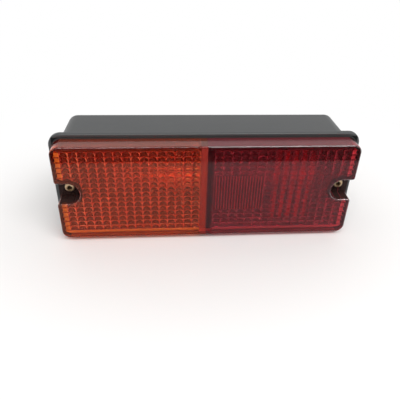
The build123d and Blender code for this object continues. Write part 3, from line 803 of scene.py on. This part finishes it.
class LAMP_OT_lens(bpy.types.Operator):
    """Crown the pillows of both lens halves and give them their tinted plastic"""

    bl_idname = "lamp.lens"
    bl_label = "Lens halves"

    def execute(self, context):
        settings = context.scene.lamp_lens
        for half in ("amber", "red"):
            node = f"{half}_lens"
            span = of_half(settings, half, "from"), of_half(settings, half, "to")
            piece = copy_of_node(f"{node}_optics", node)
            round_optics(piece, *span, settings, window=half == "red")
            if half == "red":
                open_lap(piece, settings)
            finish_piece(piece, node, tinted_plastic(f"{half} lens plastic", settings, half, *span))
        return {"FINISHED"}


class LAMP_OT_housing(bpy.types.Operator):
    """Give the housing, gasket and grommet their black plastic and rubber"""

    bl_idname = "lamp.housing"
    bl_label = "Housing and rubber"

    def execute(self, context):
        settings = context.scene.lamp_finish
        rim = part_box("red_lens")[1]
        # A painted shadow darkens the flange round the lens
        seat_shadow = Vector((rim.x + settings.seat_shadow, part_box("gasket")[1].y, rim.z + settings.seat_shadow))
        black = moulded_plastic(
            "satin black moulding", settings.moulding, roughness=0.42, grain_depth=0.012 * MM, seat_shadow=seat_shadow)
        dress(["housing"], black)
        rubber = moulded_plastic("soft black rubber", settings.rubber, roughness=0.7, grain_depth=0.02 * MM)
        dress(["gasket", "cable_grommet"], rubber)
        return {"FINISHED"}


class LAMP_OT_metal(bpy.types.Operator):
    """Give the screws, inserts, carriers and contacts their metals"""

    bl_idname = "lamp.metal"
    bl_label = "Metal pieces"

    def execute(self, context):
        settings = context.scene.lamp_finish
        low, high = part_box("lens_screws")
        # The recess in each screw head gets painted shade
        shaded_pit = high.x - (high.z - low.z) / 2, (low.z + high.z) / 2, settings.screw_pit_shade
        yellow = plated_metal(
            "yellow zinc plate", settings.yellow_zinc, roughness=0.32, tarnish=0.25, shaded_pit=shaded_pit)
        dress(["lens_screws"], yellow)
        brass = plated_metal("bright brass", settings.brass, roughness=0.28, tarnish=0.15)
        dress(["lens_screw_inserts", "rear_fixing_inserts"], brass)
        dull_brass = plated_metal("dull brass", settings.dull_brass, roughness=0.4, tarnish=0.2)
        zinc = plated_metal("zinc plate", settings.zinc, roughness=0.35, tarnish=0.12)
        dress(["carrier_screws"], zinc)
        steel = plated_metal("spring steel", settings.steel, roughness=0.3, tarnish=0.1)
        for side in ("amber", "red"):
            dress([f"{side}_bulb_cap", f"{side}_contact_pins"], dull_brass)
            dress([f"{side}_bulb_carrier", f"{side}_bulb_holder"], zinc)
            dress([f"{side}_contact_spring"], steel)
        return {"FINISHED"}


class LAMP_OT_bulbs(bpy.types.Operator):
    """Give the bulbs their glass and their insulators"""

    bl_idname = "lamp.bulbs"
    bl_label = "Bulbs"

    def execute(self, context):
        settings = context.scene.lamp_finish
        glass = clear_glass("bulb glass", settings.glass)
        mount = plated_metal("nickel wire", settings.zinc, roughness=0.25, tarnish=0.1)
        laminate = moulded_plastic(
            "brown laminate", settings.laminate, roughness=0.55, grain_depth=0.01 * MM)
        insulator = moulded_plastic(
            "black insulator", settings.rubber, roughness=0.25, grain_depth=0.004 * MM)
        for side in ("amber", "red"):
            dress([f"{side}_bulb_glass"], glass)
            dress([f"{side}_filament"], mount)
            dress([f"{side}_contact_disc"], laminate)
            dress([f"{side}_bulb_base"], insulator)
        return {"FINISHED"}


class LAMP_OT_stage(bpy.types.Operator):
    """Lay the floor, light the lamp and set the camera"""

    bl_idname = "lamp.stage"
    bl_label = "Stage"

    def execute(self, context):
        settings = context.scene.lamp_stage
        self.lay_floor(settings)
        self.light(context.scene, settings)
        self.set_camera(context.scene, settings)
        context.scene.view_settings.view_transform = "Standard"
        return {"FINISHED"}

    def lay_floor(self, settings):
        """A pale floor with a painted shadow round the lamp, a little whiter away from it."""
        finish = Finish("pale floor")
        x, y, _ = finish.axes()
        # Painted shadow: the floor is darker near the lamp and turns white away from it
        ahead = y + settings.shadow_pool_ahead
        away = (settings.shadow_pool_squash * x * x + ahead * ahead) ** 0.5
        far = finish.rise(away, settings.shadow_pool_from, settings.shadow_pool_to)
        cloud = finish.noise(scale=3.0, detail=3.0)
        tone = finish.blend(far, rgba(settings.floor), rgba(settings.floor_far))
        matt = finish.principled({
            "Base Color": finish.blend(0.04 * cloud, tone, rgba(settings.floor, level=0.8)),
            "Roughness": 0.9,
            "Specular IOR Level": 0.0,
        })
        white = finish.node("ShaderNodeEmission", sockets={"Color": grey(1.0), "Strength": 1.0})
        finish.close(finish.mix(far * finish.seen(), matt, white))
        bpy.ops.object.select_all(action="DESELECT")
        bpy.ops.mesh.primitive_plane_add(size=settings.floor_size, location=(0.0, 0.0, CAD_LOW.z))
        bpy.ops.object.transform_apply(location=True, rotation=True, scale=True)
        floor = bpy.context.active_object
        floor.name = "floor"
        floor.data.materials.append(finish.owner)

    def light(self, scene, settings):
        """A pale room, brighter behind the lamp, and a soft light at each side above the camera."""
        scene.world = bpy.data.worlds.new("studio")
        finish = Finish("studio", scene.world)
        way = finish.node("ShaderNodeTexCoord", output="Generated")
        ahead = finish.node("ShaderNodeSeparateXYZ", sockets={0: way}, output="Y")
        behind = finish.rise(ahead, zero_at=-0.5, one_at=0.3)
        tone = finish.blend(behind, grey(settings.room_front), grey(settings.room_back))
        tone = finish.blend(finish.seen(), tone, grey(settings.room_seen))
        back = finish.node("ShaderNodeBackground", sockets={"Color": tone, "Strength": 1.0})
        finish.node("ShaderNodeOutputWorld", sockets={"Surface": back})
        for side in ("left", "right"):
            lamp = bpy.data.lights.new(f"soft lamp {side}", "AREA")
            lamp.shape = "RECTANGLE"
            lamp.size = getattr(settings, f"{side}_width")
            lamp.size_y = settings.light_depth
            lamp.energy = getattr(settings, f"{side}_power")
            holder = bpy.data.objects.new(lamp.name, lamp)
            place = Vector((getattr(settings, f"{side}_place"), -settings.light_ahead, settings.light_height))
            holder.location = place
            holder.rotation_euler = (-place).to_track_quat("-Z", "Y").to_euler()
            scene.collection.objects.link(holder)

    def set_camera(self, scene, settings):
        """A camera at the place and angles that were fitted to the photograph."""
        pitch, yaw, roll = settings.camera_pitch, settings.camera_yaw, settings.camera_roll
        forward = Vector((math.sin(yaw) * math.cos(pitch), math.cos(yaw) * math.cos(pitch), -math.sin(pitch)))
        level = Vector((math.cos(yaw), -math.sin(yaw), 0.0))
        above = level.cross(forward)
        right = math.cos(roll) * level + math.sin(roll) * above
        up = math.cos(roll) * above - math.sin(roll) * level
        camera = bpy.data.cameras.new("camera")
        camera.sensor_width = 36.0
        camera.lens = settings.camera_lens
        camera.shift_x = settings.shift_x
        camera.shift_y = settings.shift_y
        camera.clip_start = 0.01
        holder = bpy.data.objects.new("camera", camera)
        turn = Matrix((right, up, -forward)).transposed().to_4x4()
        holder.matrix_world = Matrix.Translation(settings.camera_place) @ turn
        scene.collection.objects.link(holder)
        scene.camera = holder


class LAMP_PT_dressing(bpy.types.Panel):
    """Lists the steps of the dressing"""

    bl_label = "Rear lamp"
    bl_idname = "LAMP_PT_dressing"
    bl_space_type = "VIEW_3D"
    bl_region_type = "UI"
    bl_category = "Rear lamp"

    def draw(self, context):
        for step in STEPS:
            self.layout.operator(step.bl_idname)


STEPS = (LAMP_OT_lens, LAMP_OT_housing, LAMP_OT_metal, LAMP_OT_bulbs, LAMP_OT_stage)
GROUPS = {"lamp_lens": LensSettings, "lamp_finish": FinishSettings, "lamp_stage": StageSettings}


def register():
    for name, group in GROUPS.items():
        bpy.utils.register_class(group)
        setattr(bpy.types.Scene, name, PointerProperty(type=group))
    for step in STEPS:
        bpy.utils.register_class(step)
    bpy.utils.register_class(LAMP_PT_dressing)


def unregister():
    bpy.utils.unregister_class(LAMP_PT_dressing)
    for step in reversed(STEPS):
        bpy.utils.unregister_class(step)
    for name, group in GROUPS.items():
        delattr(bpy.types.Scene, name)
        bpy.utils.unregister_class(group)


def main():
    register()
    bpy.ops.lamp.lens()
    bpy.ops.lamp.housing()
    bpy.ops.lamp.metal()
    bpy.ops.lamp.bulbs()
    bpy.ops.lamp.stage()


if __name__ == "__main__":
    main()
